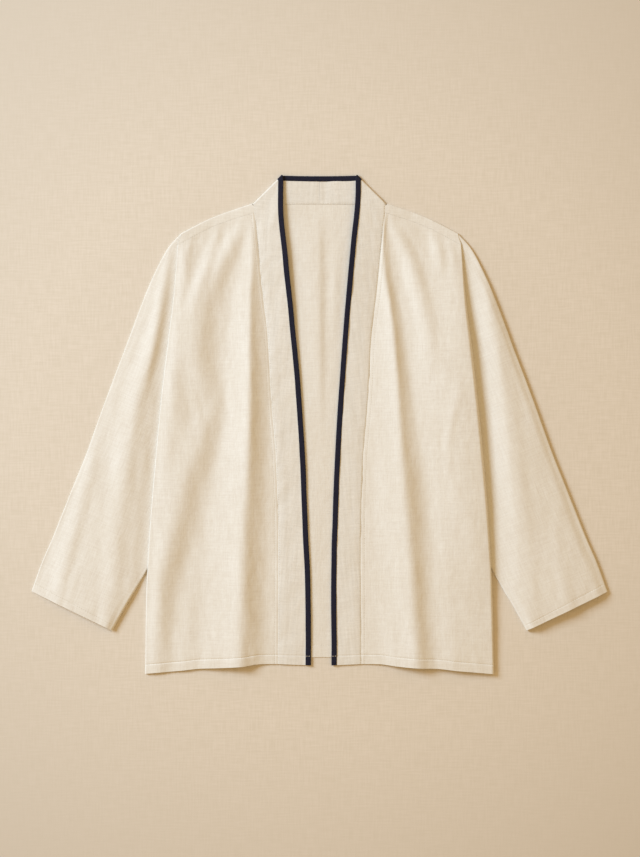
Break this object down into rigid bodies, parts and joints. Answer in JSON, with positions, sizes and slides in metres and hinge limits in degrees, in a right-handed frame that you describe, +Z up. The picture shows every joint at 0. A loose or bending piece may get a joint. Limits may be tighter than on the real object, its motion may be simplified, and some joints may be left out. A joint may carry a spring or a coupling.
{
  "type": "kimono shirt",
  "caption": "Open kimono shirt in natural linen and cotton, laid flat, with long sleeves, a plain front band and a narrow navy binding",
  "frame": {"origin": "the middle of the laid shirt's footprint, on the surface it lies on", "axes": "+X across the shirt from cuff to cuff, towards the wearer's left; +Y from hem to neck; +Z up, away from the surface, towards the viewer of the front"},
  "size_m": [0.817, 0.7084, 0.0126],
  "materials": {
    "natural_cloth": "plain woven slub linen and cotton, undyed ivory, washed and matte",
    "navy_binding": "plain woven cotton bias tape, dark navy, matte"
  },
  "bodies": {
    "root": {"back_panel": "natural_cloth", "front_panel_left": "natural_cloth", "front_panel_right": "natural_cloth", "sleeve_left": "natural_cloth", "sleeve_right": "natural_cloth", "band_left": "natural_cloth", "band_right": "natural_cloth", "binding_left": "navy_binding", "binding_right": "navy_binding"}
  },
  "joints": []
}
